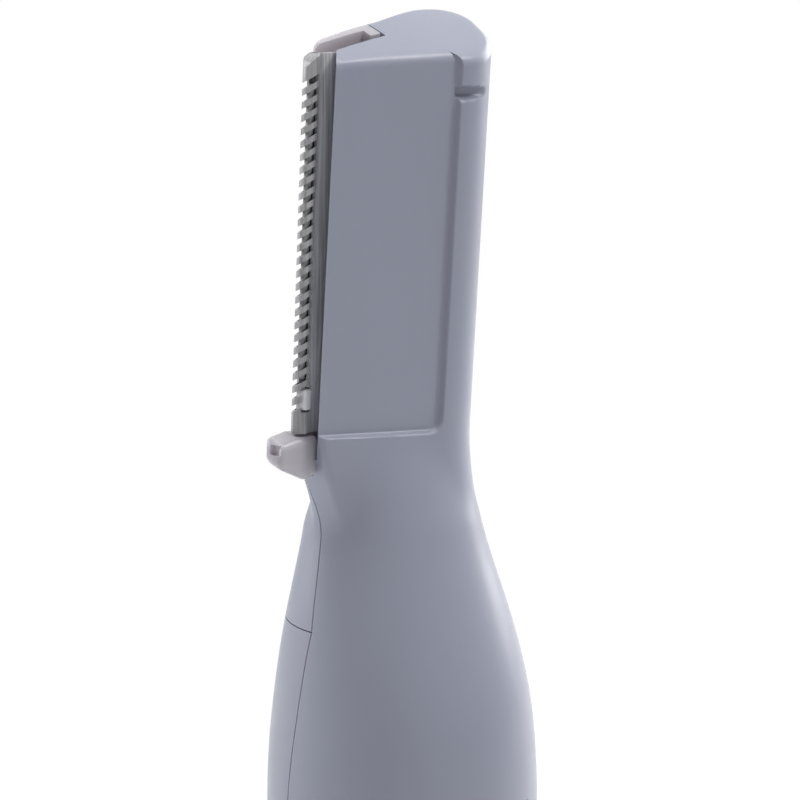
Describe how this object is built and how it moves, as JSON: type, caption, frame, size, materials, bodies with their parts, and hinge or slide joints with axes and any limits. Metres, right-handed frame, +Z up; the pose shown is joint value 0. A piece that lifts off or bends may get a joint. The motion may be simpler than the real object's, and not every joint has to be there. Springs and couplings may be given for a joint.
{
  "type": "facial hair trimmer",
  "caption": "Slim battery facial hair trimmer: round grip, narrow flat head and a slotted comb blade along one side of the head.",
  "frame": {"origin": "centre of the flat foot under the battery cap", "axes": "+Z up along the handle to the head, -Y the front with the recessed panel, -X the side of the comb blade"},
  "size_m": [0.021, 0.0192, 0.1396],
  "materials": {
    "front_shell": "satin",
    "rear_shell": "satin",
    "neck_side_cover": "satin",
    "blade_frame": "satin, slightly translucent",
    "fixed_comb": "brushed",
    "comb_latch": "satin",
    "moving_blade": "ground",
    "blade_spring": "rolled",
    "drive_rod": "satin",
    "drive_lever": "satin",
    "lever_pin": "ground",
    "eccentric_cam": "satin",
    "motor_shaft": "ground",
    "motor_armature": "enamelled winding",
    "motor_magnet_ring": "sintered",
    "motor_can": "drawn",
    "motor_end_cap": "matte",
    "inner_chassis": "matte",
    "positive_contact": "bright",
    "negative_strip": "bright",
    "motor_strip": "bright",
    "switch_button": "matte",
    "switch_bridge": "bright",
    "battery_cell": "plain wrapped can",
    "battery_spring": "wire",
    "cap_contact_strip": "bright",
    "battery_cap": "satin",
    "cap_seal_ring": "matte",
    "screw_left": "zinc plated",
    "screw_right": "zinc plated"
  },
  "bodies": {
    "handle": {"front_shell": "front_shell", "rear_shell": "rear_shell", "neck_side_cover": "neck_side_cover", "lever_pin": "lever_pin", "motor_magnet_ring": "motor_magnet_ring", "motor_can": "motor_can", "motor_end_cap": "motor_end_cap", "inner_chassis": "inner_chassis", "positive_contact": "positive_contact", "negative_strip": "negative_strip", "motor_strip": "motor_strip", "screw_left": "screw_left", "screw_right": "screw_right"},
    "power_button": {"switch_button": "switch_button", "switch_bridge": "switch_bridge"},
    "rotor": {"motor_shaft": "motor_shaft", "motor_armature": "motor_armature", "eccentric_cam": "eccentric_cam"},
    "lever": {"drive_lever": "drive_lever"},
    "rod": {"drive_rod": "drive_rod"},
    "blade_unit": {"blade_frame": "blade_frame", "fixed_comb": "fixed_comb", "comb_latch": "comb_latch", "blade_spring": "blade_spring"},
    "cutter": {"moving_blade": "moving_blade"},
    "cap_and_cell": {"battery_cap": "battery_cap", "battery_cell": "battery_cell", "battery_spring": "battery_spring", "cap_contact_strip": "cap_contact_strip", "cap_seal_ring": "cap_seal_ring"}
  },
  "joints": [
    {"name": "power_slide", "type": "slide", "parent": "handle", "child": "power_button", "axis": [0, 0, 1], "range_m": [0, 0.003]},
    {"name": "motor_spin", "type": "hinge", "parent": "handle", "child": "rotor", "pos_m": [0, 0, 0.0795], "axis": [0, 0, 1], "range_deg": [-95, 95]},
    {"name": "lever_rock", "type": "hinge", "parent": "handle", "child": "lever", "pos_m": [0.0012, 0, 0.095], "axis": [0, 1, 0], "range_deg": [-4, 4]},
    {"name": "rod_lift", "type": "slide", "parent": "handle", "child": "rod", "axis": [0.0425, -0.005, 0.9991], "range_m": [-0.000415, 0.000415]},
    {"name": "blade_unit_pull", "type": "slide", "parent": "handle", "child": "blade_unit", "axis": [-0.9651, -0.2588, 0.0398], "range_m": [0, 0.012]},
    {"name": "cutter_stroke", "type": "slide", "parent": "blade_unit", "child": "cutter", "axis": [0.0425, -0.005, 0.9991], "range_m": [-0.00045, 0.00045]},
    {"name": "cap_pull", "type": "slide", "parent": "handle", "child": "cap_and_cell", "axis": [0, 0, -1], "range_m": [0, 0.045]}
  ],
  "couplings": [
    {"joint": "lever_rock", "follows": "rod_lift", "rad_per_m": 163.93},
    {"joint": "motor_spin", "follows": "rod_lift", "rad_per_m": 3768.6},
    {"joint": "cutter_stroke", "follows": "rod_lift", "ratio": 1}
  ]
}
